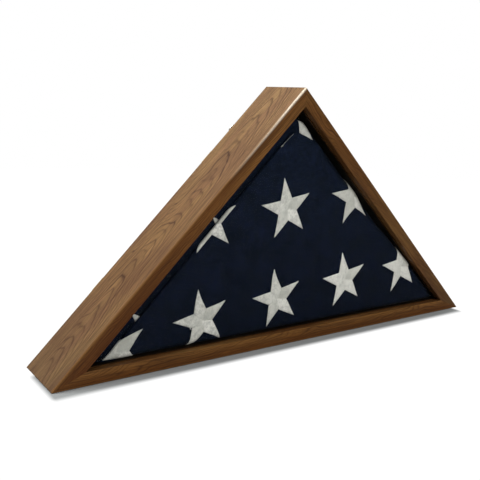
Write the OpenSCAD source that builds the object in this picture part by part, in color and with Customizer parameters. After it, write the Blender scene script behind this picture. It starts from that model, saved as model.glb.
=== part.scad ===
// Folded flag display case: a mitred triangular hardwood box with a glass front,
// a lift-out back panel held by turn buttons, and a folded flag inside.
//
// Frame: X along the base, Y from the glass front (-Y) to the back (+Y), Z up.
// The origin is the middle of the base's underside.

/* [Case] */
// Width of the case along its base, outside
case_w = 720; // [560:10:760]
// Depth of the case from front edge to rear edge
case_d = 92; // [80:1:120]
// Thickness of the three boards
board_t = 18.5; // [17:0.5:22]
// Radius of the eased long edges
ease_r = 1.8; // [0.6:0.2:3]
// Rounding of the three outer corners
corner_r = 1.2; // [0.4:0.2:3]

/* [Glass] */
// Distance from the front edge to the glass groove
lip = 8.5; // [6:0.5:12]
// Thickness of the glass pane
glass_t = 2.5; // [2:0.5:3]
// Depth of the glass groove in the boards
groove_depth = 6; // [4:0.5:7]
// Room for the glass, on each face and at its edges
glass_play = 0.35; // [0.2:0.05:0.6]

/* [Back panel] */
// Thickness of the plywood back panel
panel_t = 5.5; // [4:0.5:6.5]
// Width of the rabbet that the panel drops into
rabbet_w = 6.5; // [5:0.5:7]
// Gap between the panel's edge and the rabbet
panel_play = 0.8; // [0.5:0.1:1.5]

/* [Turn buttons] */
// Distance of each base button from the middle of the base
base_button_s = 190; // [100:10:220]
// Distance of each leg button from the middle of its board
leg_button_s = 125; // [60:5:130]
// Distance from pivot to tip of a turn button
button_reach = 24; // [20:1:28]
// Width of a turn button
button_w = 10; // [8:0.5:10.5]
// Thickness of a turn button
button_t = 1.2; // [1:0.1:2]

/* [Hangers] */
// Distance from the apex to the loop of a hanger, along the board
hanger_from_apex = 78; // [60:1:95]
// Length of a hanger strap
strap_l = 23; // [21:1:26]
// Wire radius of a hanger ring
ring_wire_r = 1.1; // [0.9:0.1:1.2]

/* [Flag] */
// Gap between the folded flag and the boards
flag_side_gap = 1.5; // [1:0.5:6]
// Gap between the folded flag and the glass
flag_front_gap = 1.2; // [0.8:0.1:3]
// Gap between the folded flag and the back panel
flag_back_gap = 1.5; // [0.8:0.1:6]

/* [Hidden] */
eps = 0.01;

case_h = case_w / 2;                    // 45 degree legs and a square apex
leg_l = case_h * sqrt(2);               // outer length of a leg board
half_tan = tan(22.5);                   // half of the base angle
incentre_z = case_w / 2 * half_tan;     // where the three mitre lines meet
front_y = -case_d / 2;
rear_y = case_d / 2;

groove_w = glass_t + 2 * glass_play;
groove_y = front_y + lip;
seat_gap = 0.1;                         // panel to rabbet shoulder
panel_recess = 0.2;                     // panel below the boards' rear edges
rabbet_d = panel_t + seat_gap + panel_recess;
land_w = board_t - rabbet_w;            // rear edge left beside the rabbet
land_mid = land_w / 2;

button_gap = 0.25;                      // land to button, and button to screw head
button_bore_r = 1.78;
screw_r = 1.7;
screw_l = 15;
screw_point_l = 4;
pilot_r = 1.75;
button_head_r = 3.4;
button_head_h = 2.2;
rib_t = 1.6;                            // finger rib of a button, along the arm
rib_h = 1.6;                            // and how far it stands up
hanger_head_r = 3.2;
hanger_head_h = 1.7;

strap_t = 1;
strap_w = 9.5;
strap_bore_r = 1.9;
strap_screw_x = 16;
loop_bore_r = ring_wire_r + 0.1;
loop_r = loop_bore_r + 1;
loop_lift = loop_r + 0.1;               // loop axis above the land
loop_half = 2.9;
ring_half = 5.3;                        // half width of a ring, to the wire's middle
ring_leg = 5;                           // straight part of a ring's sides

biscuit_l = 56;
biscuit_w = 23;
biscuit_t = 4;
biscuit_play = 0.1;
biscuit_y = (groove_y + groove_w + rear_y - rabbet_d) / 2;
apex_biscuit_drop = 20;                 // below the outer apex
base_biscuit_run = 36;                  // along the mitre from the outer tip

walnut = [0.48, 0.33, 0.20];
brass = [0.72, 0.58, 0.33];
steel = [0.62, 0.62, 0.63];

// ---------------------------------------------------------------- outlines

// Corners of the case triangle moved inward by t
function inset_triangle(t) = [
    [-case_w / 2 + t / half_tan, t],
    [case_w / 2 - t / half_tan, t],
    [0, case_h - t * sqrt(2)]];

function arc(c, r, a0, a1, n = 4) =
    [for (i = [0 : n]) let (a = a0 + (a1 - a0) * i / n) c + r * [cos(a), sin(a)]];

// Case triangle moved inward by t, its three corners rounded with radius r
function rounded_triangle(r, t = 0, n = 6) = let (
        tip = case_w / 2 - (t + r) / half_tan,
        top = case_h - (t + r) * sqrt(2))
    concat(arc([tip, t + r], r, -90, 45, n), arc([0, top], r, 45, 135, n),
           arc([-tip, t + r], r, 135, 270, n));

// Board cross-section as [depth, thickness]: eased edges, glass groove, rear rabbet
function board_profile() = let (r = ease_r) concat(
    arc([front_y + r, r], r, 270, 180),
    arc([front_y + r / 2, board_t - r / 2], r / 2, 180, 90),
    [[groove_y, board_t], [groove_y, board_t - groove_depth],
     [groove_y + groove_w, board_t - groove_depth], [groove_y + groove_w, board_t],
     [rear_y - rabbet_d, board_t], [rear_y - rabbet_d, land_w], [rear_y, land_w]],
    arc([rear_y - r, r], r, 0, -90));

// Extrudes an XZ outline along Y from y0 to y1
module slab(y0, y1) {
    translate([0, y1, 0]) rotate([90, 0, 0]) linear_extrude(y1 - y0) children();
}

// ------------------------------------------------------------- placing parts

// Puts a child on a board: X along the board, Z inward from its outer face,
// with the origin at the middle of the outer face. side is -1, 0 (base) or 1.
module on_board(side) {
    translate([side * case_w / 4, 0, abs(side) * case_h / 2])
        rotate([0, side * -135, 0]) children();
}

// Puts a child at a point on a board's rear land, s along the board
module on_land(side, s) {
    on_board(side) translate([s, rear_y, land_mid]) children();
}

// The three places of a biscuit: across the middle of each mitre
module at_apex() {
    translate([0, biscuit_y, case_h - apex_biscuit_drop]) children();
}

module at_corner(side) {
    translate([side * case_w / 2, 0, 0]) rotate([0, side > 0 ? 22.5 : -22.5, 0])
        translate([-side * base_biscuit_run, biscuit_y, 0])
            rotate([0, 90, 0]) children();
}

// ------------------------------------------------------------------- boards

// Lens-shaped biscuit lying flat in the XY plane, its length along Y
module biscuit_shape(play = 0) {
    r = (pow(biscuit_l / 2, 2) + pow(biscuit_w / 2, 2)) / biscuit_w + play;
    off = r - play - biscuit_w / 2;
    h = biscuit_t + 2 * play;
    translate([0, 0, -h / 2]) linear_extrude(h) intersection() {
        translate([-off, 0]) circle(r, $fn = 96);
        translate([off, 0]) circle(r, $fn = 96);
    }
}

module pilot_hole(side, s) {
    on_land(side, s) rotate([90, 0, 0]) translate([0, 0, -1])
        cylinder(h = screw_l + 2, r = pilot_r, $fn = 24);
}

// One board: the profile run along its edge and cut by the two mitres
module board(side) {
    ends = side == 0 ? [[-case_w / 2, 0], [case_w / 2, 0]]
                     : [[side * case_w / 2, 0], [0, case_h]];
    s_button = side == 0 ? base_button_s : leg_button_s;
    difference() {
        intersection() {
            on_board(side) translate([-case_w / 2, 0, 0]) rotate([90, 0, 90])
                linear_extrude(case_w) polygon(board_profile());
            slab(front_y - 1, rear_y + 1) polygon(concat(ends, [[0, incentre_z]]));
            slab(front_y - 1, rear_y + 1) polygon(rounded_triangle(corner_r));
        }
        for (s = [-s_button, s_button]) pilot_hole(side, s);
        if (side != 0) {
            pilot_hole(side, side * (leg_l / 2 - hanger_from_apex - strap_screw_x));
            at_apex() biscuit_shape(biscuit_play);
            at_corner(side) biscuit_shape(biscuit_play);
        } else {
            at_corner(-1) biscuit_shape(biscuit_play);
            at_corner(1) biscuit_shape(biscuit_play);
        }
    }
}

module bottom_board() { color(walnut) board(0); }
module left_board() { color(walnut) board(-1); }
module right_board() { color(walnut) board(1); }

module apex_biscuit() { color("tan") at_apex() biscuit_shape(); }
module left_biscuit() { color("tan") at_corner(-1) biscuit_shape(); }
module right_biscuit() { color("tan") at_corner(1) biscuit_shape(); }

// ---------------------------------------------------------- glass and panel

// A triangle inset by t with its sharp base corners nipped square
module nipped_triangle(t, nip) {
    half = case_w / 2 - t / half_tan - nip;
    intersection() {
        polygon(inset_triangle(t));
        translate([-half, 0]) square([2 * half, case_h]);
    }
}

module glass_pane() {
    color("lightblue", 0.3)
        slab(groove_y + glass_play, groove_y + glass_play + glass_t)
            nipped_triangle(board_t - groove_depth + glass_play, 5);
}

module back_panel() {
    color([0.42, 0.28, 0.17])
        slab(rear_y - panel_recess - panel_t, rear_y - panel_recess)
            nipped_triangle(land_w + panel_play, 6);
}

// -------------------------------------------------- turn buttons and screws

// Stamped turn button: pivot at the origin, arm along +X, land side at y = 0
module turn_button_shape() {
    tip_x = button_reach - button_w / 2;
    translate([0, button_gap + button_t, 0]) rotate([90, 0, 0]) difference() {
        union() {
            cylinder(h = button_t, r = button_w / 2, $fn = 48);
            translate([tip_x, 0, 0]) cylinder(h = button_t, r = button_w / 2, $fn = 48);
            translate([0, -button_w / 2, 0]) cube([tip_x, button_w, button_t]);
        }
        translate([0, 0, -1]) cylinder(h = button_t + 2, r = button_bore_r, $fn = 32);
    }
    // raised finger rib across the arm
    translate([tip_x, button_gap + button_t / 2, -button_w * 0.3])
        cube([rib_t, button_t / 2 + rib_h, button_w * 0.6]);
}

// A turn button on a board, turned aside along the board towards its middle
module turn_button(side, s) {
    color(brass) on_land(side, s) rotate([0, s > 0 ? 180 : 0, 0]) turn_button_shape();
}

module base_left_button() { turn_button(0, -base_button_s); }
module base_right_button() { turn_button(0, base_button_s); }
// on the left board +s runs down the slope, on the right board it runs up
module left_lower_button() { turn_button(-1, leg_button_s); }
module left_upper_button() { turn_button(-1, -leg_button_s); }
module right_lower_button() { turn_button(1, -leg_button_s); }
module right_upper_button() { turn_button(1, leg_button_s); }

// Round-head wood screw driven along -Y, the head's underside at y = under
module wood_screw(under, head_r, head_h) {
    dome_r = (head_r * head_r + head_h * head_h) / (2 * head_h);
    rotate([-90, 0, 0]) difference() {
        union() {
            translate([0, 0, under]) intersection() {
                cylinder(h = head_h, r = head_r, $fn = 40);
                translate([0, 0, head_h - dome_r]) sphere(dome_r, $fn = 64);
            }
            translate([0, 0, -screw_l + screw_point_l])
                cylinder(h = screw_l - screw_point_l + under + eps, r = screw_r, $fn = 24);
            translate([0, 0, -screw_l])
                cylinder(h = screw_point_l, r1 = 0.3, r2 = screw_r, $fn = 24);
        }
        // cross recess
        for (a = [0, 90]) rotate([0, 0, a])
            translate([-head_r * 0.55, -0.45, under + head_h * 0.35])
                cube([head_r * 1.1, 0.9, head_h]);
    }
}

module button_screws() {
    color(brass) for (side = [-1, 0, 1]) {
        s_button = side == 0 ? base_button_s : leg_button_s;
        for (s = [-s_button, s_button])
            on_land(side, s)
                wood_screw(2 * button_gap + button_t, button_head_r, button_head_h);
    }
}

// ------------------------------------------------------------------ hangers

// Strap and loop for the board on this side, the loop towards the apex
module on_hanger(side) {
    on_land(side, side * (leg_l / 2 - hanger_from_apex))
        rotate([0, side > 0 ? 180 : 0, 0]) children();
}

module hanger_strap(side) {
    color(steel) on_hanger(side) difference() {
        union() {
            translate([0, 0, -strap_w / 2])
                cube([strap_l - strap_w / 2, strap_t, strap_w]);
            translate([strap_l - strap_w / 2, strap_t, 0]) rotate([90, 0, 0])
                cylinder(h = strap_t, r = strap_w / 2, $fn = 48);
            translate([0, loop_lift, -loop_half])
                cylinder(h = 2 * loop_half, r = loop_r, $fn = 32);
        }
        translate([0, loop_lift, -loop_half - 1])
            cylinder(h = 2 * loop_half + 2, r = loop_bore_r, $fn = 32);
        translate([strap_screw_x, strap_t + 1, 0]) rotate([90, 0, 0])
            cylinder(h = strap_t + 2, r = strap_bore_r, $fn = 32);
    }
}

// D-shaped wire ring, its bar in the loop and its bow folded down over the strap
module hanger_ring(side) {
    color(steel) on_hanger(side) translate([0, loop_lift, 0]) {
        translate([0, 0, -ring_half])
            cylinder(h = 2 * ring_half, r = ring_wire_r, $fn = 32);
        for (z = [-ring_half, ring_half]) translate([0, 0, z]) {
            sphere(ring_wire_r, $fn = 32);
            rotate([0, 90, 0]) cylinder(h = ring_leg, r = ring_wire_r, $fn = 32);
        }
        translate([ring_leg, 0, 0]) rotate([90, 0, 0]) rotate([0, 0, -90])
            rotate_extrude(angle = 180, $fn = 48)
                translate([ring_half, 0]) circle(ring_wire_r, $fn = 32);
    }
}

module left_hanger_strap() { hanger_strap(-1); }
module right_hanger_strap() { hanger_strap(1); }
module left_hanger_ring() { hanger_ring(-1); }
module right_hanger_ring() { hanger_ring(1); }

module hanger_screws() {
    color(steel) for (side = [-1, 1])
        on_hanger(side) translate([strap_screw_x, 0, 0])
            wood_screw(strap_t, hanger_head_r, hanger_head_h);
}

// --------------------------------------------------------------------- flag

// Closed solid through outlines of one size: outlines[i] lies in the plane y = ys[i]
module loft(outlines, ys) {
    n = len(outlines[0]);
    levels = len(ys);
    points = [for (i = [0 : levels - 1]) for (p = outlines[i]) [p[0], ys[i], p[1]]];
    sides = [for (i = [0 : levels - 2]) for (j = [0 : n - 1])
        let (a = i * n + j, b = i * n + (j + 1) % n) each [[a, b, b + n], [a, b + n, a + n]]];
    polyhedron(points, concat(sides, [
        [for (j = [n - 1 : -1 : 0]) j],
        [for (j = [0 : n - 1]) (levels - 1) * n + j]]));
}

// The folded flag as a full, soft-edged triangular bundle
module folded_flag() {
    y_front = groove_y + glass_play + glass_t + flag_front_gap;
    y_rear = rear_y - panel_recess - panel_t - flag_back_gap;
    side = board_t + flag_side_gap;
    // share of the thickness, and how far the outline draws in there
    levels = [[0, 9], [0.12, 2.5], [0.35, 0], [0.65, 0], [0.88, 2.5], [1, 9]];
    color([0.05, 0.07, 0.14])
        loft([for (l = levels) rounded_triangle(9, side + l[1])],
             [for (l = levels) y_front + (y_rear - y_front) * l[0]]);
}

bottom_board();
left_board();
right_board();
apex_biscuit();
left_biscuit();
right_biscuit();
glass_pane();
back_panel();
base_left_button();
base_right_button();
left_lower_button();
left_upper_button();
right_lower_button();
right_upper_button();
button_screws();
left_hanger_strap();
right_hanger_strap();
left_hanger_ring();
right_hanger_ring();
hanger_screws();
folded_flag();
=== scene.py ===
"""Folded flag display case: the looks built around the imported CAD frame, in metres."""
import math

import bpy
import numpy as np
from mathutils import Euler, Matrix, Vector, noise


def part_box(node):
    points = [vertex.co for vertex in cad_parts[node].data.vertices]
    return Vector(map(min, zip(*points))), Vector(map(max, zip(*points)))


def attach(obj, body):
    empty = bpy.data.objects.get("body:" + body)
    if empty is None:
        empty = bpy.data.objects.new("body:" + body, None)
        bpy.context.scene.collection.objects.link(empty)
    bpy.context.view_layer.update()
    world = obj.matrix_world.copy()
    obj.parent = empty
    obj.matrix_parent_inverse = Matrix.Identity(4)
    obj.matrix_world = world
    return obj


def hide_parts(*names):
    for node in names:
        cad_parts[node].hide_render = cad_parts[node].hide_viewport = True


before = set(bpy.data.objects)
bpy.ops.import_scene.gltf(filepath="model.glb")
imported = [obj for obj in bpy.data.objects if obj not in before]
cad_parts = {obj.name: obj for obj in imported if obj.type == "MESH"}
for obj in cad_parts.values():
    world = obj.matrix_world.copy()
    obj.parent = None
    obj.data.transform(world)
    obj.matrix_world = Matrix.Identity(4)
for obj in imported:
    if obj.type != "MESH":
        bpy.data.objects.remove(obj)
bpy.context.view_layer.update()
MM = 0.001
noise.seed_set(5)                        # noise_vector would follow the clock without it

# ---------------------------------------------------------------- the case's own sizes
GLASS_LO, GLASS_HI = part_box("glass_pane")
BASE_LO, BASE_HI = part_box("bottom_board")
PANEL_LO, PANEL_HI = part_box("back_panel")
CASE_H = GLASS_HI.z + GLASS_LO.z * math.sqrt(2)  # the glass is the case's triangle moved inward
CASE_W = 2 * CASE_H
BOARD_T = BASE_HI.z
LIP_INNER = BOARD_T + 8.5 * MM           # the front lip that holds the glass
FRONT_Y, REAR_Y = BASE_LO.y, BASE_HI.y
EASED = 1.3 * MM                         # the boards' rounded edges

# ---------------------------------------------------------------- tones and light
# the front faces' stain: its colour low down, high up, and along the outer edge
LEG_STAINS = ((0.092, 0.022, 0.0015, 1), (0.25, 0.115, 0.032, 1), (0.14, 0.052, 0.010, 1))
BASE_STAINS = ((0.235, 0.110, 0.030, 1), (0.235, 0.110, 0.030, 1), (0.092, 0.022, 0.0012, 1))
# how a board's tone changes at its foot and at its top; on the left board this is painted light, darker at
# the foot and paler and whiter at the top where the key light falls
PLAIN = ((1, 1, 1, 1), (1, 1, 1, 1))
LEFT_PAINTED_LIGHT = ((0.84, 0.90, 1.0, 1), (1.12, 1.18, 1.26, 1))
RIGHT_TONES = ((0.66, 0.68, 0.72, 1), (1.06, 1.06, 0.90, 1))
WORLD_FRONT, WORLD_BACK = 0.36, 0.62     # the surroundings' strength before and behind the case


# ------------------------------------------------------------------------ shader helper
class Nodes:
    """Short names for building one material's nodes."""

    def __init__(self, name):
        self.material = bpy.data.materials.new(name)
        self.material.use_nodes = True
        self.tree = self.material.node_tree
        self.bsdf = self.tree.nodes["Principled BSDF"]

    def add(self, kind, inputs=None, **settings):
        """A new node, with its settings and with values or links for its inputs."""
        node = self.tree.nodes.new("ShaderNode" + kind)
        for key, value in settings.items():
            setattr(node, key, value)
        for key, value in (inputs or {}).items():
            self.put(node.inputs[key], value)
        return node

    def put(self, socket, value):
        """Links a socket or a node's first output to an input, or sets the input's value."""
        if isinstance(value, bpy.types.NodeSocket):
            self.tree.links.new(value, socket)
        elif isinstance(value, bpy.types.Node):
            self.tree.links.new(value.outputs[0], socket)
        else:
            socket.default_value = value

    def math(self, operation, a, b=0.0, c=0.0, clamp=False):
        return self.add("Math", {0: a, 1: b, 2: c}, operation=operation, use_clamp=clamp).outputs[0]

    def mix(self, factor, a, b, blend="MIX"):
        node = self.add("Mix", data_type="RGBA", blend_type=blend)
        for index, value in ((0, factor), (6, a), (7, b)):
            self.put(node.inputs[index], value)
        return node.outputs[2]

    def noise(self, vector, scale, detail=3.0, rough=0.5):
        return self.add("TexNoise", {"Vector": vector, "Scale": scale, "Detail": detail,
                                     "Roughness": rough}).outputs[0]

    def stretch(self, vector, scale):
        """Coordinates scaled by axis, which draws a pattern out along the smallest one."""
        return self.add("VectorMath", {0: vector, 1: scale}, operation="MULTIPLY").outputs[0]

    def span(self, value, low, high, to_low=0.0, to_high=1.0):
        """Maps low..high to to_low..to_high, held at the ends."""
        return self.add("MapRange", {"Value": value, "From Min": low, "From Max": high,
                                     "To Min": to_low, "To Max": to_high}).outputs[0]

    def ramp(self, value, stops):
        node = self.add("ValToRGB", {0: value})
        elements = node.color_ramp.elements
        while len(elements) < len(stops):
            elements.new(0.5)
        for element, (place, color) in zip(elements, stops):
            element.position, element.color = place, (*color, 1)
        return node.outputs[0]

    def bump(self, height, distance, strength=1.0, onto=None):
        node = self.add("Bump", {"Height": height, "Distance": distance, "Strength": strength})
        if onto is not None:
            self.put(node.inputs["Normal"], onto)
        return node.outputs[0]

    def finish(self, color, roughness, normal=None, **fixed):
        """Connects the surface, sets the fixed constants, and gives the material."""
        self.put(self.bsdf.inputs["Base Color"], color)
        self.put(self.bsdf.inputs["Roughness"], roughness)
        if normal is not None:
            self.put(self.bsdf.inputs["Normal"], normal)
        for key, value in fixed.items():
            self.bsdf.inputs[key.replace("_", " ")].default_value = value
        return self.material


# ------------------------------------------------------------------------ camera, light
def make_camera():
    """The photographed view: the target is on the front face, left of the middle."""
    azimuth, elevation, roll = math.radians(-34.6), math.radians(11.8), math.radians(1.95)
    target = Vector((-0.139 * CASE_W, FRONT_Y, 0.222 * CASE_W))
    distance = 1.291 * CASE_W
    back = Vector((math.sin(azimuth) * math.cos(elevation),
                   -math.cos(azimuth) * math.cos(elevation), math.sin(elevation)))
    data = bpy.data.cameras.new("camera")
    data.sensor_width = 36
    data.lens = 52.9
    data.clip_start, data.clip_end = 0.05, 50
    cam = bpy.data.objects.new("camera", data)
    bpy.context.scene.collection.objects.link(cam)
    cam.location = target + back * distance
    turn = (-back).to_track_quat("-Z", "Y").to_matrix() @ Matrix.Rotation(roll, 3, "Z")
    cam.rotation_euler = turn.to_euler()
    bpy.context.scene.camera = cam


def area_light(name, place, aim, size, power, color=(1, 1, 1), glossy=True):
    """A rectangular soft light; glossy says whether it makes highlights."""
    data = bpy.data.lights.new(name, "AREA")
    data.shape = "RECTANGLE"
    data.size, data.size_y = size
    data.energy = power
    data.color = color
    light = bpy.data.objects.new(name, data)
    bpy.context.scene.collection.objects.link(light)
    light.location = place
    light.visible_glossy = glossy
    light.rotation_euler = (Vector(aim) - Vector(place)).to_track_quat("-Z", "Y").to_euler()


def floor_paper():
    """White paper, evenly white to the camera, with a painted shadow close in front of the case, where a
    dark grey paper still lit by the lamps is mixed in, as in the photograph.
    """
    n = Nodes("floor_paper")
    place = n.add("SeparateXYZ", {0: n.add("TexCoord").outputs["Object"]})
    beyond = []
    for axis, shift, half, narrow in ((0, -8 * MM, CASE_W / 2 - 10 * MM, 1.7),
                                      (1, -24 * MM, REAR_Y - 13 * MM, 1.0)):
        offset = n.math("ABSOLUTE", n.math("SUBTRACT", place.outputs[axis], shift))
        outside = n.math("MAXIMUM", n.math("SUBTRACT", offset, half), 0.0)
        beyond.append(n.math("MULTIPLY", outside, narrow))
    reach = n.math("SQRT", n.math("ADD", n.math("POWER", beyond[0], 2.0),
                                  n.math("POWER", beyond[1], 2.0)))
    fade = n.add("MapRange", {"Value": reach, "From Min": 0.0, "From Max": 15 * MM},
                 interpolation_type="SMOOTHSTEP").outputs[0]
    white = n.add("Emission", {"Color": (1, 1, 1, 1), "Strength": 1.05})
    # painted shadow: near the case the paper turns dark grey with a faint glow, darkening the lamps' real
    # shading there
    shade = n.add("AddShader", {0: n.add("BsdfDiffuse", {"Color": (0.175, 0.185, 0.19, 1)}),
                                1: n.add("Emission", {"Color": (1, 1, 1, 1), "Strength": 0.06})})
    paper = n.add("BsdfDiffuse", {"Color": (0.36, 0.36, 0.36, 1)})
    near = n.add("MixShader", {0: fade, 1: shade, 2: white})
    seen = n.add("MixShader", {0: n.add("LightPath").outputs["Is Camera Ray"], 1: paper, 2: near})
    n.put(n.tree.nodes["Material Output"].inputs["Surface"], seen)
    return n.material


def make_studio():
    """White surroundings, a pale floor and one large soft light above the left leg board."""
    scene = bpy.context.scene
    scene.view_settings.view_transform = "Standard"
    world = bpy.data.worlds.new("studio")
    scene.world = world
    world.use_nodes = True
    nodes, links = world.node_tree.nodes, world.node_tree.links
    nodes.clear()
    seen, cast, pick = (nodes.new("ShaderNodeBackground"), nodes.new("ShaderNodeBackground"),
                        nodes.new("ShaderNodeMixShader"))
    seen.inputs["Strength"].default_value = 1.0
    seen.inputs["Color"].default_value = (1, 1, 1, 1)
    # the surroundings that light the case: bright behind it, dim on its right
    way = nodes.new("ShaderNodeSeparateXYZ")
    links.new(nodes.new("ShaderNodeTexCoord").outputs["Generated"], way.inputs[0])
    behind, beside = nodes.new("ShaderNodeMapRange"), nodes.new("ShaderNodeMapRange")
    for node, axis, low, high, at_low, at_high in (
            (behind, 1, -0.2, 0.7, WORLD_FRONT, WORLD_BACK), (beside, 0, 0.1, 0.7, 1.0, 0.3)):
        links.new(way.outputs[axis], node.inputs["Value"])
        for key, value in (("From Min", low), ("From Max", high), ("To Min", at_low), ("To Max", at_high)):
            node.inputs[key].default_value = value
    both = nodes.new("ShaderNodeMath")
    both.operation = "MULTIPLY"
    links.new(behind.outputs[0], both.inputs[0])
    links.new(beside.outputs[0], both.inputs[1])
    links.new(both.outputs[0], cast.inputs["Strength"])
    cast.inputs["Color"].default_value = (1.0, 0.985, 0.96, 1)
    path = nodes.new("ShaderNodeLightPath")
    links.new(path.outputs["Is Camera Ray"], pick.inputs[0])
    links.new(cast.outputs[0], pick.inputs[1])
    links.new(seen.outputs[0], pick.inputs[2])
    out = nodes.new("ShaderNodeOutputWorld")
    links.new(pick.outputs[0], out.inputs[0])

    bpy.ops.mesh.primitive_circle_add(vertices=96, radius=2.2, fill_type="NGON")
    floor = bpy.context.object
    floor.name = "floor"
    floor.data.materials.append(floor_paper())

    middle = (0, 0, 0.4 * CASE_H)
    area_light("key", (-0.55, 0.30, 1.60), (0, 0, CASE_H), (1.1, 1.1), 44, (1.0, 0.98, 0.94))
    area_light("edge_glint", (-0.33, -0.71, 1.66), (0, FRONT_Y, CASE_H), (0.12, 0.5), 4)
    area_light("front_fill", (0.45, -2.2, 1.0), middle, (1.3, 1.0), 24, (1.0, 0.98, 0.95), glossy=False)


# ----------------------------------------------------------------------------- finishes
def walnut(name, side, shift, gloss, stains, stained=True, painted_sheen_veil=0.0, painted_glint_amount=0.0, tones=PLAIN):
    """Lacquered flat-sawn walnut, its grain along the board. side places it: -1 and 1 are the legs."""
    n = Nodes(name)
    place = n.add("TexCoord").outputs["Object"]
    home = Vector((side * CASE_W / 4, 0, abs(side) * CASE_H / 2))
    turn = Euler((0, math.radians(side * 135), 0))
    moved = turn.to_matrix() @ -home
    board = n.add("Mapping", {"Vector": place, "Location": moved + Vector((shift, 0, 0)),
                              "Rotation": turn}).outputs[0]
    # growth rings: long cones about a pith under the outer face
    pith, taper, ring = 0.042, 0.085 * (1 if side >= 0 else -1), 0.0019
    wander = n.noise(n.stretch(board, (6, 16, 16)), 1.0, 3.0)
    ripple = n.noise(n.stretch(board, (30, 110, 110)), 1.0, 2.0)
    parts = n.add("SeparateXYZ", {0: board})
    across = n.math("ADD", parts.outputs[1], n.span(wander, 0.2, 0.8, -0.016, 0.016))
    depth = n.math("SUBTRACT", parts.outputs[2], pith)
    radius = n.math("SQRT", n.math("ADD", n.math("MULTIPLY", across, across),
                                   n.math("MULTIPLY", depth, depth)))
    along = n.math("MULTIPLY", parts.outputs[0], taper)
    waves = n.math("ADD", n.span(wander, 0.0, 1.0, -0.005, 0.005),
                   n.span(ripple, 0.0, 1.0, -0.0007, 0.0007))
    growth = n.math("DIVIDE", n.math("ADD", n.math("ADD", radius, along), waves), ring)
    late = n.ramp(n.math("FRACT", growth), [(0.0, (0.2, 0.2, 0.2)), (0.20, (0.0, 0.0, 0.0)),
                                            (0.62, (0.1, 0.1, 0.1)), (0.86, (1, 1, 1)),
                                            (1.0, (0.2, 0.2, 0.2))])
    years = n.noise(n.add("CombineXYZ", {0: n.math("MULTIPLY", growth, 0.41)}), 1.0, 2.0)
    band = n.noise(n.stretch(board, (7, 34, 34)), 1.0, 3.0, 0.6)
    heart = n.noise(n.stretch(board, (12, 70, 70)), 1.0, 3.0, 0.6)
    fibre = n.noise(n.stretch(board, (30, 1100, 1100)), 1.0, 3.0, 0.6)
    streak = n.noise(n.stretch(board, (9, 300, 300)), 1.0, 2.0, 0.6)
    pore = n.noise(n.stretch(board, (130, 1700, 1700)), 1.0, 2.0, 0.5)
    pores = n.span(pore, 0.60, 0.70)
    pale, warm, deep = (0.192, 0.098, 0.030, 1), (0.132, 0.056, 0.0165, 1), (0.034, 0.0135, 0.0060, 1)
    color = n.mix(n.span(band, 0.40, 0.60), pale, warm)
    color = n.mix(n.span(heart, 0.52, 0.68, 0.0, 0.55), color, (0.205, 0.092, 0.036, 1))
    # painted sheen: a pale grey veil mixed into the colour stands in for the lacquer reflecting the bright
    # surroundings
    color = n.mix(painted_sheen_veil, color, (0.30, 0.33, 0.26, 1))
    upward = n.add("SeparateXYZ", {0: place}).outputs[2]
    # the tones darken the foot and lighten the top; on the left board that is painted light
    color = n.mix(n.span(upward, 0.0, 0.3 * CASE_H, 1.0, 0.0), color, tones[0], "MULTIPLY")
    color = n.mix(n.span(upward, 0.5 * CASE_H, CASE_H), color, tones[1], "MULTIPLY")
    # the front faces took an orange stain unevenly: tones at the foot, at the top and by the floor
    from_front = n.math("SUBTRACT", parts.outputs[1], FRONT_Y)
    on_front = n.math("LESS_THAN", from_front, 0.4 * MM)
    low, high, outer = stains
    stain = n.mix(n.span(upward, 0.2 * CASE_H, 0.75 * CASE_H), low, high)
    stain = n.mix(n.span(parts.outputs[2], 3 * MM, 19 * MM, 0.9, 0.0), stain, outer)
    color = n.mix(n.math("MULTIPLY", on_front, 0.85 if stained else 0.0), color, stain)
    line = n.math("MULTIPLY", late, n.span(years, 0.3, 0.62, 0.15, 1.0))
    color = n.mix(line, color, deep)
    color = n.mix(n.span(streak, 0.42, 0.7, 0.0, 0.5), color, deep)
    color = n.mix(n.span(fibre, 0.38, 0.72, 0.0, 0.45), color, deep)
    color = n.mix(n.math("MULTIPLY", pores, 0.55), color, (0.020, 0.008, 0.004, 1))
    # the lip's edge in front of the glass is orange too; behind the glass the inner faces are painted
    # near-black, a painted shade in the recess
    inner = n.math("GREATER_THAN", parts.outputs[2], BOARD_T - 0.4 * MM)
    lip_edge = n.math("GREATER_THAN", parts.outputs[2], LIP_INNER - 1.0 * MM)
    color = n.mix(n.math("MULTIPLY", lip_edge, 0.7), color, (0.28, 0.088, 0.012, 1))
    painted_recess_shade = n.span(parts.outputs[1], GLASS_LO.y - 1 * MM, GLASS_LO.y + 7 * MM)
    color = n.mix(n.math("MULTIPLY", inner, painted_recess_shade), color, (0.0075, 0.0045, 0.003, 1))
    # painted highlight: a pale orange line along the lip's inner front edge
    from_lip = n.math("MAXIMUM", n.math("ABSOLUTE", n.math("SUBTRACT", parts.outputs[2], LIP_INNER)),
                      from_front)
    painted_edge_highlight = n.add("MapRange", {"Value": from_lip, "From Min": 0.9 * MM, "From Max": 2.0 * MM,
                                "To Min": 0.8, "To Max": 0.0}).outputs[0]
    color = n.mix(painted_edge_highlight, color, (0.46, 0.25, 0.11, 1))
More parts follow.
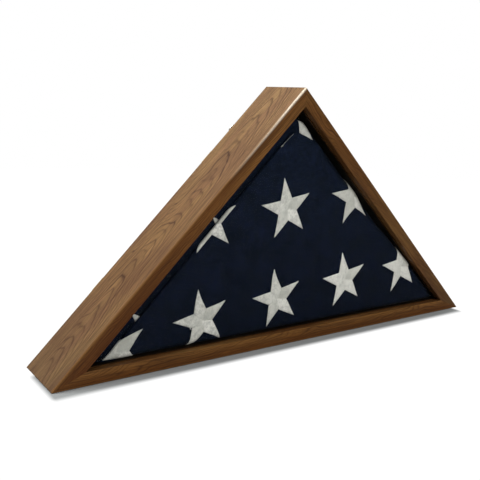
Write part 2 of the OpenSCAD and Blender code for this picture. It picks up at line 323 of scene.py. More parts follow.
    # along the outer front edge a golden-brown band, and near the apex a pale painted glint, the highlight
    # of the eased edge, broken into streaks
    from_edge = n.math("MAXIMUM", n.math("ABSOLUTE", parts.outputs[2]), from_front)
    edge_band_and_glint = n.add("MapRange", {"Value": from_edge, "From Min": 1.2 * MM, "From Max": 3.6 * MM,
                              "To Min": 1.0, "To Max": 0.0}).outputs[0]
    color = n.mix(n.math("MULTIPLY", edge_band_and_glint, 0.8), color, (0.135, 0.064, 0.020, 1))
    edge_band_and_glint = n.math("MULTIPLY", edge_band_and_glint, n.span(upward, 0.66 * CASE_H, 0.97 * CASE_H, 0.0, painted_glint_amount))
    edge_band_and_glint = n.math("MULTIPLY", edge_band_and_glint, n.span(streak, 0.38, 0.58, 0.25, 1.0))
    color = n.mix(edge_band_and_glint, color, (0.60, 0.53, 0.43, 1))
    height = n.math("SUBTRACT", n.math("MULTIPLY", fibre, 0.35), n.math("MULTIPLY", pores, 0.8))
    normal = n.bump(height, 0.00012, 0.12)
    rough = n.span(fibre, 0.2, 0.8, 0.38, 0.54)
    return n.finish(color, rough, normal, Specular_IOR_Level=gloss)


def plywood():
    """Walnut-veneered plywood: grain up the faces, pale and dark plies where its edges show."""
    n = Nodes("walnut_plywood")
    place = n.add("TexCoord").outputs["Object"]
    wander = n.noise(n.stretch(place, (9, 1, 3)), 1.0, 3.0)
    sweep = n.noise(n.stretch(place, (70, 1, 2.2)), 1.0, 3.0, 0.6)
    fibre = n.noise(n.stretch(place, (900, 60, 22)), 1.0, 3.0, 0.6)
    parts = n.add("SeparateXYZ", {0: place})
    swept = n.math("ADD", wander, n.math("MULTIPLY", sweep, 0.3))
    arches = n.math("FRACT", n.math("MULTIPLY", swept, 22.0))
    color = n.mix(n.span(arches, 0.5, 1.0, 0.0, 0.5), (0.205, 0.108, 0.046, 1), (0.085, 0.040, 0.017, 1))
    color = n.mix(n.span(fibre, 0.35, 0.72, 0.0, 0.5), color, (0.050, 0.023, 0.011, 1))
    ply = (PANEL_HI.y - PANEL_LO.y) / 5
    layer = n.math("DIVIDE", n.math("SUBTRACT", parts.outputs[1], PANEL_LO.y), ply)
    cross_ply = n.math("GREATER_THAN", n.math("PINGPONG", layer, 1.0), 0.5)
    birch = n.mix(cross_ply, (0.50, 0.36, 0.21, 1), (0.30, 0.19, 0.10, 1))
    birch = n.mix(n.span(fibre, 0.4, 0.7, 0.0, 0.35), birch, (0.22, 0.14, 0.07, 1))
    core = n.math("LESS_THAN", n.math("ABSOLUTE", n.math("SUBTRACT", layer, 2.5)), 2.38)
    color = n.mix(core, color, birch)
    return n.finish(color, n.span(fibre, 0.2, 0.8, 0.45, 0.62), n.bump(fibre, 0.0001, 0.4),
                    Specular_IOR_Level=0.3)


def beech():
    """Compressed beech of the joint biscuits: pale, with short brown ray flecks."""
    n = Nodes("beech")
    place = n.add("TexCoord").outputs["Object"]
    fleck = n.noise(n.stretch(place, (1500, 1500, 260)), 1.0, 2.0)
    cloud = n.noise(place, 90, 3.0)
    color = n.mix(n.span(cloud, 0.35, 0.65), (0.62, 0.42, 0.25, 1), (0.50, 0.31, 0.17, 1))
    color = n.mix(n.span(fleck, 0.56, 0.70), color, (0.30, 0.16, 0.08, 1))
    return n.finish(color, n.span(fleck, 0.3, 0.7, 0.7, 0.55), n.bump(fleck, 0.0002, 0.5))


def clear_glass():
    """Plain float glass, almost clear, with a faint green cast."""
    n = Nodes("clear_glass")
    return n.finish((0.004, 0.008, 0.007, 1), 0.03, Alpha=0.03, IOR=1.5)


def satin_metal(name, base, dark, rough):
    """Stamped and tumbled metal with fine scratches and a little tarnish."""
    n = Nodes(name)
    place = n.add("TexCoord").outputs["Object"]
    tarnish = n.noise(place, 260, 4.0, 0.6)
    scratch = n.noise(n.stretch(place, (900, 900, 5200)), 1.0, 2.0)
    color = n.mix(n.span(tarnish, 0.45, 0.75, 0.0, 0.6), base, dark)
    roughness = n.span(tarnish, 0.3, 0.7, rough, rough + 0.16)
    return n.finish(color, roughness, n.bump(scratch, 0.00003, 0.35), Metallic=1.0)


def set_material(node, material):
    """Gives a carried-over CAD node one material all over."""
    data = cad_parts[node].data
    data.materials.clear()
    data.materials.append(material)
    for polygon in data.polygons:
        polygon.material_index = 0


def ease_edges(node, width):
    """Rounds a board's sharp edges, which then catch the light."""
    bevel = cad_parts[node].modifiers.new("eased", "BEVEL")
    bevel.width, bevel.segments, bevel.limit_method = width, 2, "ANGLE"
    bevel.angle_limit = math.radians(35)
    bevel.harden_normals = True


def dress_frame():
    """Carried-over CAD nodes: each takes the finish of the material it is made of."""
    boards = {"left_board": walnut("walnut_left", -1, 0.31, 0.08, LEG_STAINS, painted_sheen_veil=0.07, painted_glint_amount=1.0,
                                   tones=LEFT_PAINTED_LIGHT),
              "right_board": walnut("walnut_right", 1, 1.13, 0.1, LEG_STAINS, stained=False,
                                    tones=RIGHT_TONES),
              "bottom_board": walnut("walnut_bottom", 0, 2.41, 0.08, BASE_STAINS)}
    for name, material in boards.items():
        ease_edges(name, EASED)
        set_material(name, material)
    finishes = {"biscuit": beech(), "glass": clear_glass(), "back_panel": plywood(),
                "button": satin_metal("satin_brass", (0.62, 0.44, 0.18, 1), (0.30, 0.18, 0.07, 1), 0.26),
                "hanger": satin_metal("nickel_steel", (0.62, 0.62, 0.60, 1), (0.35, 0.34, 0.32, 1), 0.22)}
    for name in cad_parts:
        for word, material in finishes.items():
            if word in name:
                set_material(name, material)


# -------------------------------------------------------------------- the folded flag
ROOT2 = math.sqrt(2)
RIGHT, LEFT, BASE, TOP = ((1 / ROOT2, 1 / ROOT2), (-1 / ROOT2, 1 / ROOT2), (0, -1), (0, 1))
FLAG_LO, FLAG_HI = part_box("folded_flag")
CLEAR = FLAG_LO.z                       # the flag stops this far inside the boards' outer faces
LEG_LINE = CASE_H / ROOT2 - CLEAR       # the flag's leg lines, along their outward directions
FLAG_SIDES = ((RIGHT, LEG_LINE), (LEFT, LEG_LINE), (BASE, -CLEAR))
SIDE_SLACK = 0.5 * MM                   # how far a roll may bulge past those lines
FRONT_PLANE, BACK_PLANE = -33.0 * MM, FLAG_HI.y - 0.6 * MM
GRID = 5.0 * MM
HALF_TURN = math.pi
QUARTER = math.pi / 2

STAR_R = 43.9 * MM                      # an embroidered star's centre to its tip
STAR_INNER = STAR_R * math.sin(math.radians(18)) / math.sin(math.radians(54))
STAR_TILT = math.radians(99)            # its first tip, from +X
STAR_PITCH = (Vector((126.1, 9.9)) * MM, Vector((9.9, 126.1)) * MM)
STAR_HOME = Vector((-12.7, 194.2)) * MM
SATIN_SHEEN = (0.50, 0.62, 0.38, 1.10, 0.05)  # the arms' stitches catch the light differently
APEX_STAR = (0, 1)                      # its place on the grid of stars; it shows a layer below
# how far the cloth's gathers have dragged single stars: x and z in mm, and a turn in degrees
DRAGGED = {(-2, -1): (4.4, -18.0, 8), (-1, -1): (0, -5.5, 4), (0, -1): (-1.6, -1.6, 2),
           (2, -1): (-4.5, -3.2, 0), (0, 0): (-1.0, 0.5, 0), (1, -1): (-1.0, 0, 0)}
# arms that the gathers have bent sideways, in mm at the tip
CURLED = {(-1, -1): {0: -4, 2: -5.5, 3: -3, 4: 1}, (0, -1): {0: -3, 2: 2}}


# stars painted brighter or duller than the rest: painted light and shade, the corner star being in the
# frame's shadow and the right-hand stars in the fill light
STAR_PAINTED_LIGHT = {(0, 0): 0.12, (1, -1): 0.3, (2, -1): 0.25, (0, -1): 0.08, (1, 0): -0.15, (-2, -1): -0.3}
# stars on the layer under the front: centre in mm, turn in degrees, and arms lost in the fold
UNDER_STARS = (((3.5, 315), 314, (1, 2, 3, 4)), ((-102, 160), 135, ()), ((-218, 46), 135, ()))
PILE = 0.6 * MM                         # how far a star's stitches stand up
KITE_CELLS = 18                         # mesh cells along each side of a star's kite
# hollows in the front cloth: centre in mm, direction, then length, width and depth in mm
DENTS = (((-113, 118), (0.35, -1), 20, 6, 3.2), ((-99, 92), (1, -0.9), 20, 6, 2.8),
         ((47, 112), (0.1, 1), 26, 5, 3.4), ((62, 226), (1, 0.2), 30, 6, 2.6),
         ((150, 96), (-0.6, 1), 30, 7, 2.4), ((20, 262), (0.8, -1), 22, 6, 2.2),
         ((-263, 38), (1, 0.5), 14, 4.5, 2.6), ((-247, 54), (0.3, 1), 9, 4.5, 1.8))
# loose threads: two ends in mm, the radius along the thread and at its knot in mm, and its steps
THREADS = (((-28.5, 280.5), (-7.5, 298.5), 0.05, 0.5, 18), ((-166.5, 45), (-164.5, 42.5), 0.4, 0.45, 6),
           ((-163, 44.5), (-161.5, 42), 0.35, 0.5, 6), ((310.5, 24.5), (312.5, 23.5), 0.4, 0.45, 4))
# the cloth simulation: spare cloth, bending stiffness, a first push that lets it buckle, and frames
SPARE_CLOTH, STIFFNESS, SEED_PUSH, SIM_FRAMES = 0.012, 6.0, 0.25 * MM, 22


class Edge:
    """A straight edge of the folded cloth, where it rolls or folds back on itself."""

    def __init__(self, normal, limit, radius, turn=QUARTER, tail=10 * MM):
        self.normal, self.limit = np.array(normal), limit
        self.radius_at = radius if callable(radius) else (lambda flat: np.full(len(flat), radius))
        self.turn, self.tail = turn, tail

    def inside(self, flat):
        """How far inside the edge each place is, and the way out."""
        return self.limit - flat @ self.normal, np.tile(self.normal, (len(flat), 1))


class RoundedEdge(Edge):
    """Two straight edges joined by a rounded corner, folded back as one."""

    def __init__(self, first, second, corner, radius, turn=HALF_TURN, tail=10 * MM):
        super().__init__(first[0], first[1], radius, turn, tail)
        self.lines, self.corner = (first, second), corner

    def inside(self, flat):
        normals = np.array([line[0] for line in self.lines])
        limits = np.array([line[1] for line in self.lines])
        core = np.linalg.solve(normals, limits - self.corner)
        away = flat - core
        shares = away @ np.linalg.inv(normals)
        depth = limits - flat @ normals.T
        nearest = depth.argmin(axis=1)
        inside, normal = depth.min(axis=1), normals[nearest]
        round_part = (shares > 0).all(axis=1)
        reach = np.linalg.norm(away, axis=1)
        inside[round_part] = self.corner - reach[round_part]
        normal[round_part] = (away / np.maximum(reach, 1e-9)[:, None])[round_part]
        return inside, normal


class Cloth:
    """One face of the folded flag: a flat square grid whose edges are rolled or folded back."""

    def __init__(self, name, edges, plane, away):
        self.name, self.edges, self.plane, self.away = name, edges, plane, away
        width, height = CASE_W + 160 * MM, CASE_H + 160 * MM
        self.start = np.array((-width / 2, -80 * MM))
        self.count = (int(width / GRID) + 1, int(height / GRID) + 1)
        i, j = np.meshgrid(np.arange(self.count[0]), np.arange(self.count[1]), indexing="ij")
        flat = self.start + GRID * np.column_stack([i.ravel(), j.ravel()])
        self.spare = self.bend(flat)[1]
        self.loose = self.bend(flat)[2]
        self.places = self.bend(self.trim(flat))[0]

    def bend(self, flat):
        """Folded positions, the cloth left before its hidden end, and how flat each place is."""
        place, depth = flat.copy(), np.zeros(len(flat))
        spare, loose = np.full(len(flat), 1.0), np.ones(len(flat))
        for edge in self.edges:
            inside, normal = edge.inside(flat)
            radius = edge.radius_at(flat)
            run = np.maximum(0, radius - inside)
            arc = np.minimum(run, edge.turn * radius)
            forward = radius * np.sin(arc / radius) + math.cos(edge.turn) * (run - arc)
            place -= normal * (run - forward)[:, None]
            depth += radius * (1 - np.cos(arc / radius)) + math.sin(edge.turn) * (run - arc)
            spare = np.minimum(spare, edge.turn * radius + edge.tail - (radius - inside))
            loose *= np.clip((inside - 0.4 * radius) / (16 * MM), 0, 1)
        for normal, limit in FLAG_SIDES:
            spare = np.minimum(spare, limit + SIDE_SLACK - place @ np.array(normal))
        y = self.plane + self.away * depth
        return np.column_stack([place[:, 0], y, place[:, 1]]), spare, loose

    def trim(self, flat):
        """Draws the outermost kept row in to the cloth's true end."""
        flat = flat.copy()
        over = np.clip(-self.spare, 0, 0.6 * GRID)
        step = 0.5 * MM
        slope = np.column_stack([self.bend(flat + np.array(d))[1] - self.spare
                                 for d in ((step, 0), (0, step))]) / step
        return flat + slope * over[:, None]

    def build(self):
        """Makes the mesh from the grid's kept cells."""
        kept = self.spare > -0.6 * GRID
        number = np.cumsum(kept) - 1
        rows = self.count[1]
        faces = []
        for i in range(self.count[0] - 1):
            for j in range(rows - 1):
                corners = (i * rows + j, (i + 1) * rows + j, (i + 1) * rows + j + 1, i * rows + j + 1)
                if all(kept[c] for c in corners):
                    faces.append([int(number[c]) for c in corners])
        used = np.zeros(kept.sum(), bool)
        used[np.array(faces).ravel()] = True
        renumber = np.cumsum(used) - 1
        self.index = np.flatnonzero(kept)[used]
        faces = [[int(renumber[c]) for c in face] for face in faces]
        if self.away > 0:
            faces = [face[::-1] for face in faces]
        self.area = len(faces) * GRID * GRID
        mesh = bpy.data.meshes.new(self.name)
        mesh.from_pydata(self.places[self.index].tolist(), [], faces)
        self.obj = bpy.data.objects.new(self.name, mesh)
        bpy.context.scene.collection.objects.link(self.obj)
        for polygon in mesh.polygons:
            polygon.use_smooth = True

    def settle(self, cap):
        """Cloth simulation: the fabric is a little longer than its place, so it ripples, up to cap."""
        mesh = self.obj.data
        loose = self.loose[self.index]
        for vertex, slack in zip(mesh.vertices, loose):
            vertex.co.y += SEED_PUSH * slack * noise.noise(vertex.co * 21)
        group = self.obj.vertex_groups.new(name="held")
        for k, slack in enumerate(loose):
            group.add([k], 1 - float(slack), "REPLACE")
        cloth = self.obj.modifiers.new("cloth", "CLOTH")
        cloth.settings.quality = 6
        cloth.settings.mass = 0.15
        cloth.settings.tension_stiffness = cloth.settings.compression_stiffness = 20
        cloth.settings.shear_stiffness = 10
        cloth.settings.bending_stiffness = STIFFNESS
        cloth.settings.vertex_group_mass = "held"
        cloth.settings.shrink_min = -SPARE_CLOTH
        cloth.settings.effector_weights.gravity = 0.05
        scene = bpy.context.scene
        for step in range(1, SIM_FRAMES + 1):
            scene.frame_set(step)
        shape = self.obj.evaluated_get(bpy.context.evaluated_depsgraph_get()).to_mesh()
        settled = np.array([vertex.co for vertex in shape.vertices])
        self.obj.modifiers.remove(cloth)
        scene.frame_set(1)
        moved = np.zeros((self.count[0] * self.count[1], 3))
        moved[self.index] = settled - self.places[self.index]
        moved = smooth_grid(moved.reshape(*self.count, 3), 3).reshape(-1, 3)
        size = np.linalg.norm(moved, axis=1)
        moved *= (cap * np.tanh(size / cap) / np.maximum(size, 1e-9))[:, None]
        moved[:, 1] = np.where(moved[:, 1] * self.away < 0, moved[:, 1] * 0.12, moved[:, 1])
        self.places += moved * self.loose[:, None] ** 0.5

    def dent(self, centre, direction, length, width, depth):
        """A long soft hollow pressed into the cloth, away from the glass."""
        along = Vector(direction).normalized()
        offset = self.places[:, (0, 2)] - np.array(centre)
        u = offset @ np.array(along)
        v = offset @ np.array((-along.y, along.x))
        shape = np.exp(-(u / length) ** 2 - np.abs(v / width) ** 1.3)
        self.places[:, 1] += self.away * depth * shape

    def keep_inside(self):
        """Moves what bulges past the flag's three sides back to them."""
        for normal, limit in FLAG_SIDES * 20:  # one side's push is another's bulge at the corners
            side = np.array((normal[0], 0, normal[1]))
            over = self.places @ side - limit - SIDE_SLACK
            self.places -= np.clip(over, 0, 4 * MM)[:, None] * side

    def finish(self, material):
        """Writes the settled places to the mesh, and gives it thickness and a material."""
        self.keep_inside()
        for vertex, place in zip(self.obj.data.vertices, self.places[self.index]):
            vertex.co = place
        self.obj.data.materials.append(material)
        subdivide = self.obj.modifiers.new("fine", "SUBSURF")
        subdivide.levels = subdivide.render_levels = 1
        thick = self.obj.modifiers.new("thickness", "SOLIDIFY")
        thick.thickness, thick.offset = 0.8 * MM, 0.0

    def at(self, flat):
        """Smooth surface points (the grid's cubic B-spline) under flat places."""
        grid = self.places.reshape(*self.count, 3)
        spot = (np.asarray(flat) - self.start) / GRID
        whole = np.clip(np.floor(spot).astype(int), 1, np.array(self.count) - 3)
        part = spot - whole
        weights = [np.array(((1 - t) ** 3, 3 * t ** 3 - 6 * t ** 2 + 4,
                             -3 * t ** 3 + 3 * t ** 2 + 3 * t + 1, t ** 3)) / 6 for t in part.T]
        total = np.zeros((len(spot), 3))
        for a in range(4):
            for b in range(4):
                corner = grid[whole[:, 0] + a - 1, whole[:, 1] + b - 1]
                total += (weights[0][a] * weights[1][b])[:, None] * corner
        return total

    def normal(self, flat):
        """Unit normals on the side that is seen."""
        step = 0.6 * MM
        along, up = np.array((step, 0)), np.array((0, step))
        cross = np.cross(self.at(flat + along) - self.at(flat - along),
                         self.at(flat + up) - self.at(flat - up))
        return self.away * cross / np.maximum(np.linalg.norm(cross, axis=1), 1e-12)[:, None]


def smooth_grid(values, times):
    """Averages each grid value with its four neighbours."""
    for _ in range(times):
        wide = np.pad(values, ((1, 1), (1, 1), (0, 0)), mode="edge")
        values = (wide[:-2, 1:-1] + wide[2:, 1:-1] + wide[1:-1, :-2] + wide[1:-1, 2:]
                  + 4 * wide[1:-1, 1:-1]) / 8
    return values


def star(name, cloth, centre, tilt, material, tucked=(), curl=None, bright=0.0):
    """An embroidered star: five satin-stitched kites, puffed up from the cloth they follow.

    tucked names the arms lost inside a crease, curl how far single arms' tips are bent, in mm,
    and bright how much brighter it is than the others.
    """
    curl = curl or {}
    centre = np.array(centre)
    seed = Vector((centre[0] * 31, centre[1] * 31, 5))
    tips = [centre + STAR_R * np.array((math.cos(a), math.sin(a)))
            for a in (tilt + k * 2 * math.pi / 5 for k in range(5))]
    notches = [centre + STAR_INNER * np.array((math.cos(a), math.sin(a)))
               for a in (tilt + (k + 0.5) * 2 * math.pi / 5 for k in range(5))]
    flat, height, faces, stitch, tone = [], [], [], [], []
    steps = np.linspace(0, 1, KITE_CELLS + 1)
    steps = steps + 0.12 * np.sin(2 * math.pi * steps) / 2
    for k in (k for k in range(5) if k not in tucked):
        before, after, tip = notches[k - 1], notches[k], tips[k]
        axis = (tip - centre) / STAR_R
        aside = np.array((axis[1], -axis[0]))
        base = len(flat)
        for s in steps:
            for t in steps:
                place = ((1 - s) * (1 - t) * centre + s * (1 - t) * before
                         + (1 - s) * t * after + s * t * tip)
                edge = (1 - s ** 10) * (1 - t ** 10)
                seam = 1 - 0.4 * math.exp(-(s / 0.07) ** 2) - 0.4 * math.exp(-(t / 0.07) ** 2)
                out = place - centre
                reach = np.linalg.norm(out) / STAR_R
                flat.append(place - aside * curl.get(k, 0) * MM * reach ** 3)
                height.append(PILE * math.sqrt(max(edge, 0)) * (0.55 + 0.45 * seam))
                stitch.append((out @ axis, out @ aside))
                # painted sheen: each arm's tone follows SATIN_SHEEN and bright near the centre and rises
                # towards the tip
                sheen = SATIN_SHEEN[k] + bright + 0.12 * noise.noise(seed + Vector((k, 0, 0)))
                tone.append(0.5 + bright + (sheen - 0.5 - bright) * math.exp(-(reach / 0.55) ** 2)
                            + 0.15 * reach)
        side = KITE_CELLS + 1
        for a in range(KITE_CELLS):
            for b in range(KITE_CELLS):
                c = base + a * side + b
                faces.append([c, c + side, c + side + 1, c + 1])
    flat, height = np.array(flat), np.array(height)
    pucker = np.array([noise.noise(Vector((p[0] * 150, p[1] * 150, 3))) for p in flat])
    lumps = np.array([noise.noise(Vector((p[0] * 430, p[1] * 430, 11))) for p in flat])
    height = height * (1 + 0.5 * pucker + 0.4 * lumps)
    ragged = np.array([noise.noise_vector(Vector((p[0] * 700, p[1] * 700, 8))) for p in flat])
    flat = flat + 0.25 * MM * ragged[:, :2] * (height < 0.1 * PILE)[:, None]
    lift = (0.42 * MM + height)[:, None]
    places = cloth.at(flat) + cloth.normal(flat) * lift
    kept = cloth.bend(flat)[1] > 0.1 * MM
    faces = [face[::cloth.away] for face in faces if all(kept[c] for c in face)]
    used = sorted({c for face in faces for c in face})
    renumber = {c: k for k, c in enumerate(used)}
    faces = [[renumber[c] for c in face] for face in faces]
    places, stitch, tone = places[used], [stitch[c] for c in used], [tone[c] for c in used]
    mesh = bpy.data.meshes.new(name)
    mesh.from_pydata(places.tolist(), [], faces)
    uv = mesh.uv_layers.new(name="stitch")
    shade = mesh.attributes.new("kite", "FLOAT", "POINT")
    shade.data.foreach_set("value", tone)
    for loop in mesh.loops:
        uv.data[loop.index].uv = stitch[loop.vertex_index]
    obj = bpy.data.objects.new(name, mesh)
    bpy.context.scene.collection.objects.link(obj)
    weld = obj.modifiers.new("seams", "WELD")
    weld.merge_threshold = 0.02 * MM
    thick = obj.modifiers.new("backing", "SOLIDIFY")
    thick.thickness, thick.offset = 0.5 * MM, -1.0
    for polygon in mesh.polygons:
        polygon.use_smooth = True
    mesh.materials.append(material)
    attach(obj, "case")


def navy_cotton(name="navy_cotton", unshaded_share=1.0):
    """Dyed cotton bunting: a fine plain weave with slubs, faint fading and a dull sheen; painted lighter
    towards the top, and with unshaded_share below 1 darkened by painted shade.
    """
    n = Nodes(name)
    place = n.add("TexCoord").outputs["Object"]
    patch = n.noise(place, 34, 4.0, 0.6)
    slub = n.noise(n.stretch(place, (60, 900, 900)), 1.0, 2.0)
    warp = n.add("TexWave", {"Vector": place, "Scale": 420.0, "Distortion": 1.2, "Detail": 1.0},
                 bands_direction="X").outputs[1]
    weft = n.add("TexWave", {"Vector": place, "Scale": 420.0, "Distortion": 1.2, "Detail": 1.0},
                 bands_direction="Z").outputs[1]
    weave = n.math("MULTIPLY", warp, weft)
    color = n.mix(n.span(patch, 0.35, 0.7), (0.0034, 0.0058, 0.0125, 1), (0.0055, 0.0090, 0.0240, 1))
    cloud = n.noise(place, 150, 4.0, 0.65)
    color = n.mix(n.span(cloud, 0.42, 0.66, 0.0, 0.75), color, (0.0026, 0.0048, 0.0085, 1))
    color = n.mix(n.span(slub, 0.5, 0.8, 0.0, 0.45), color, (0.010, 0.014, 0.026, 1))
    # painted light: the cloth is painted up to 1.6 times brighter towards the top, where the light from
    # above falls
    upward = n.add("SeparateXYZ", {0: place}).outputs[2]
    color = n.mix(n.span(upward, 0.2 * CASE_H, 0.75 * CASE_H), color, (1.6, 1.6, 1.5, 1), "MULTIPLY")
    # painted shade: below 1, unshaded_share draws the colour towards near-black
    color = n.mix(unshaded_share, (0.0008, 0.0012, 0.0022, 1), color)
    normal = n.bump(weave, 0.0002, 0.35, n.bump(cloud, 0.0022, 0.5, n.bump(patch, 0.006, 0.4)))
    n.bsdf.inputs["Sheen Weight"].default_value = 0.012
    n.bsdf.inputs["Sheen Roughness"].default_value = 0.5
    return n.finish(color, 0.9, normal, Specular_IOR_Level=0.02)


def white_embroidery():
    """Satin-stitched white thread: fine ridges across each arm, each arm with its own sheen."""
    n = Nodes("white_embroidery")
    uv = n.add("UVMap", uv_map="stitch").outputs[0]
    place = n.add("TexCoord").outputs["Object"]
    kite = n.add("Attribute", attribute_name="kite").outputs["Fac"]
    mottle = n.noise(place, 190, 5.0, 0.7)
    thread = n.add("TexWave", {"Vector": uv, "Scale": 330.0, "Distortion": 0.8, "Detail": 2.0},
                   bands_direction="X").outputs[1]
    # painted sheen: the kite tone sets how light each arm's thread colour is
    color = n.mix(n.span(kite, 0.0, 1.0), (0.50, 0.515, 0.46, 1), (0.93, 0.94, 0.88, 1))
    speck = n.noise(place, 520, 3.0, 0.6)
    # painted shade: the stars towards the left get more grey mottling and are the dullest, as the fill
    # light comes from the right
    rightward = n.add("SeparateXYZ", {0: place}).outputs[0]
    mottle_and_painted_shade = n.span(rightward, -0.25 * CASE_W, 0.2 * CASE_W, 1.0, 0.35)
    color = n.mix(n.math("MULTIPLY", n.span(speck, 0.54, 0.68, 0.0, 0.6), mottle_and_painted_shade), color,
                  (0.34, 0.35, 0.335, 1))
    color = n.mix(n.math("MULTIPLY", n.span(mottle, 0.44, 0.62, 0.0, 0.9), mottle_and_painted_shade), color,
                  (0.44, 0.455, 0.425, 1))
    color = n.mix(n.span(thread, 0.0, 1.0, 0.16, 0.0), color, (0.45, 0.46, 0.43, 1))
    normal = n.bump(thread, 0.0002, 0.4, n.bump(mottle, 0.0016, 0.8))
    n.bsdf.inputs["Sheen Weight"].default_value = 0.1
    return n.finish(color, n.span(kite, 0.0, 1.0, 0.6, 0.42), normal, Specular_IOR_Level=0.3)


def right_roll(flat):
    """The right edge is a soft uneven roll, tight towards the bottom corner."""
    height = flat[:, 1]
    waist = 22 * MM + 5 * MM * np.cos(2 * math.pi * (height - 253 * MM) / (78 * MM))
    ease = np.clip((height - 92 * MM) / (70 * MM), 0, 1)
    return 5 * MM + (waist - 5 * MM) * ease * ease * (3 - 2 * ease)


def lattice_stars(cloth, prefix, home, pitch, tilt, material, front=False):
    """A cloth's stars, on their grid; the front's are dragged, curled and toned one by one."""
    dragged, curled, brighter = (DRAGGED, CURLED, STAR_PAINTED_LIGHT) if front else ({}, {}, {})
    count = 0
    for i in range(-5, 6):
        for j in range(-4, 5):
            centre = home + i * pitch[0] + j * pitch[1]
            turn = 0.0
            if (i, j) in dragged:
                centre += Vector(dragged[i, j][:2]) * MM
                turn = math.radians(dragged[i, j][2])
            flat = np.array([centre + STAR_R * Vector((math.cos(tilt + a), math.sin(tilt + a)))
                             for a in np.linspace(0, 2 * math.pi, 6)[:-1]] + [centre])
            spare = cloth.bend(flat)[1]
            if spare.max() > 21 * MM and not (front and (i, j) == APEX_STAR):
                count += 1
                star(f"{prefix}_{count:02d}", cloth, centre, tilt + turn, material,
                     curl=curled.get((i, j)), bright=brighter.get((i, j), 0.0))


def tube(points, radii, sides=6):
    """Vertices and faces of a closed round tube along points."""
    verts, faces = [], []
    for k, point in enumerate(points):
        along = points[min(k + 1, len(points) - 1)] - points[max(k - 1, 0)]
        turn = along.to_track_quat("Z", "X").to_matrix()
        for m in range(sides):
            a = 2 * math.pi * m / sides
            verts.append(point + turn @ Vector((math.cos(a), math.sin(a), 0)) * radii[k])
    for k in range(len(points) - 1):
        for m in range(sides):
            a, b = k * sides + m, k * sides + (m + 1) % sides
            faces.append((a, b, b + sides, a + sides))
    faces.append(tuple(range(sides))[::-1])
    faces.append(tuple(range((len(points) - 1) * sides, len(points) * sides)))
    return verts, faces


def loose_threads(cloth, material):
    """Ends of white thread: along the fold near the apex, at a star's arm and in the right corner."""
    verts, faces = [], []
    for start, end, thin, thick, steps in THREADS:
        share = np.linspace(0, 1, steps)[:, None]
        flat = (np.array(start) * (1 - share) + np.array(end) * share) * MM
        flat[:, 0] += 0.5 * MM * np.sin(share[:, 0] * 17)
        lift = 0.5 * MM + 0.15 * MM * np.sin(share * 9)
        points = [Vector(p) for p in cloth.at(flat) + cloth.normal(flat) * lift]
        radii = [MM * (thick * (1 - t) ** 6 + thin * (1 - t ** 8) + 0.05) for t in share[:, 0]]
        more, around = tube(points, radii)
        faces += [tuple(c + len(verts) for c in face) for face in around]
        verts += more
    mesh = bpy.data.meshes.new("loose_threads")
    mesh.from_pydata([tuple(v) for v in verts], [], faces)
    mesh.uv_layers.new(name="stitch")
    mesh.attributes.new("kite", "FLOAT", "POINT").data.foreach_set("value", [0.8] * len(verts))
    for polygon in mesh.polygons:
        polygon.use_smooth = True
    obj = bpy.data.objects.new("loose_threads", mesh)
    bpy.context.scene.collection.objects.link(obj)
    mesh.materials.append(material)
    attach(obj, "case")


def inner_folds(material, layers=6, around=120, arc=8):
    """The flag's inner thickness: flattened folds stacked between the front and back cloths."""
    low, high = FRONT_PLANE + 10.5 * MM, BACK_PLANE - 7 * MM
    step = (high - low) / layers
    reach, peak = CASE_H - (1 + ROOT2) * CLEAR, CASE_H - ROOT2 * CLEAR
    corners = [Vector((reach, CLEAR)), Vector((0, peak)), Vector((-reach, CLEAR))]
    middle = Vector((0, 0.38 * CASE_H))
    verts, faces = [], []
    for layer in range(layers):
        half = step * 0.49
        start = len(verts)
        for k in range(arc + 1):
            lean = -QUARTER + math.pi * k / arc
            for m in range(around):
                t = 3 * m / around
                a, b = corners[int(t)], corners[(int(t) + 1) % 3]
                edge = a.lerp(b, t - int(t))
                soft = 8 * abs(2 * (t - int(t)) - 1) ** 10
                wave = 1.5 * noise.noise(Vector((edge.x * 14, edge.y * 14, layer * 3.7)))
                inset = 5 * MM + (wave + soft + 0.5 * (layer % 2)) * MM + half * (1 - math.cos(lean))
                place = edge + (middle - edge).normalized() * inset * 1.3
                verts.append((place.x, low + step * (layer + 0.5) + half * math.sin(lean), place.y))
        for k in range(arc):
            for m in range(around):
                a, b = start + k * around + m, start + k * around + (m + 1) % around
                faces.append((a, b, b + around, a + around))
        faces.append(tuple(range(start, start + around))[::-1])
        faces.append(tuple(range(start + arc * around, start + (arc + 1) * around)))
    mesh = bpy.data.meshes.new("flag_inner_folds")
    mesh.from_pydata(verts, [], faces)
    obj = bpy.data.objects.new("flag_inner_folds", mesh)
    bpy.context.scene.collection.objects.link(obj)
    mesh.materials.append(material)
    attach(obj, "case")
    return obj


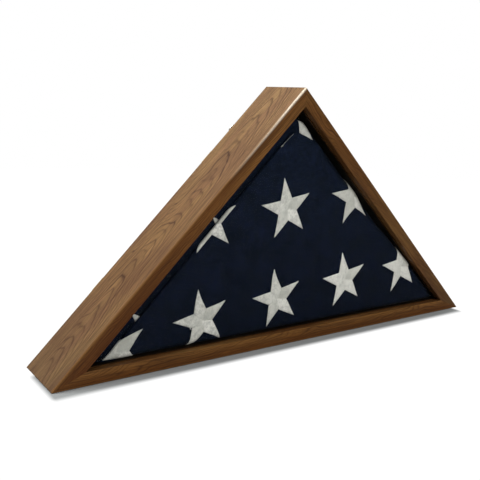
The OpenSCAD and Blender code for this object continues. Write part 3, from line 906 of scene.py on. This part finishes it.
def make_flag():
    """The folded flag: four cloths, their stars, loose threads and the folds between them."""
    navy, white = navy_cotton(), white_embroidery()
    painted_shade_navy = navy_cotton("navy_cotton_painted_shade", 0.75)  # painted shade: the layer below is painted darker, as it lies in the shadow of the lip and the front cloth's fold
    lean = math.radians(-0.1)
    fold = (math.cos(lean) * LEFT[0] - math.sin(lean) * LEFT[1],
            math.sin(lean) * LEFT[0] + math.cos(lean) * LEFT[1])
    fold_limit = Vector(fold).dot(Vector((-104, 203)) * MM) + 2.6 * MM
    tip_normal = (math.sin(math.radians(20)), math.cos(math.radians(20)))
    tip_limit = Vector(tip_normal).dot(Vector((-3, 301.6)) * MM)
    top_fold = RoundedEdge((fold, fold_limit), (tip_normal, tip_limit), 14 * MM, 1.7 * MM,
                           tail=14 * MM)
    front = Cloth("flag_front_cloth", [top_fold, Edge(RIGHT, LEG_LINE, right_roll, tail=2 * MM),
                                       Edge(BASE, -CLEAR, 9 * MM, tail=14 * MM)], FRONT_PLANE, 1)
    under = Cloth("flag_under_cloth", [Edge(LEFT, LEG_LINE, 7 * MM, tail=6 * MM),
                                       Edge(TOP, 319 * MM, 8 * MM),
                                       Edge(RIGHT, LEG_LINE - 0.5 * MM, 13 * MM, tail=4 * MM),
                                       Edge(BASE, -CLEAR - 0.5 * MM, 8 * MM)], FRONT_PLANE + 5.2 * MM, 1)
    leg_rolls = [Edge(side, LEG_LINE, 13 * MM, tail=8 * MM) for side in (LEFT, RIGHT)]
    base_roll = Edge(BASE, -CLEAR, 11 * MM, tail=8 * MM)
    back = Cloth("flag_back_cloth", [*leg_rolls, base_roll], BACK_PLANE - 4.2 * MM, -1)
    pocket = RoundedEdge(((0.97, 0.24), 92 * MM), (TOP, 300 * MM), 20 * MM, 1.5 * MM, tail=14 * MM)
    flap = Cloth("flag_tuck_flap", [pocket, leg_rolls[0], base_roll], BACK_PLANE, -1)
    for cloth, cap in ((front, 3 * MM), (under, 2.0 * MM), (back, 2.5 * MM), (flap, 2.0 * MM)):
        cloth.build()
        cloth.settle(cap)
    for centre, way, length, width, depth in DENTS:
        front.dent(np.array(centre) * MM, way, length * MM, width * MM, depth * MM)
    for cloth in (front, under, back, flap):
        cloth.finish(painted_shade_navy if cloth is under else navy)
        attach(cloth.obj, "case")
    lattice_stars(front, "front_star", STAR_HOME, STAR_PITCH, STAR_TILT, white, front=True)
    for k, (centre, tilt, tucked) in enumerate(UNDER_STARS):
        star(f"under_star_{k + 1}", under, Vector(centre) * MM, math.radians(tilt), white, tucked)
    lattice_stars(back, "back_star", Vector((30, 150)) * MM, STAR_PITCH[::-1], STAR_TILT + 0.6, white)
    lattice_stars(flap, "flap_star", Vector((-70, 96)) * MM, STAR_PITCH, STAR_TILT - 0.2, white)
    loose_threads(front, white)
    folds = inner_folds(navy)
    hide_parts("folded_flag")


make_camera()
make_studio()
dress_frame()
make_flag()
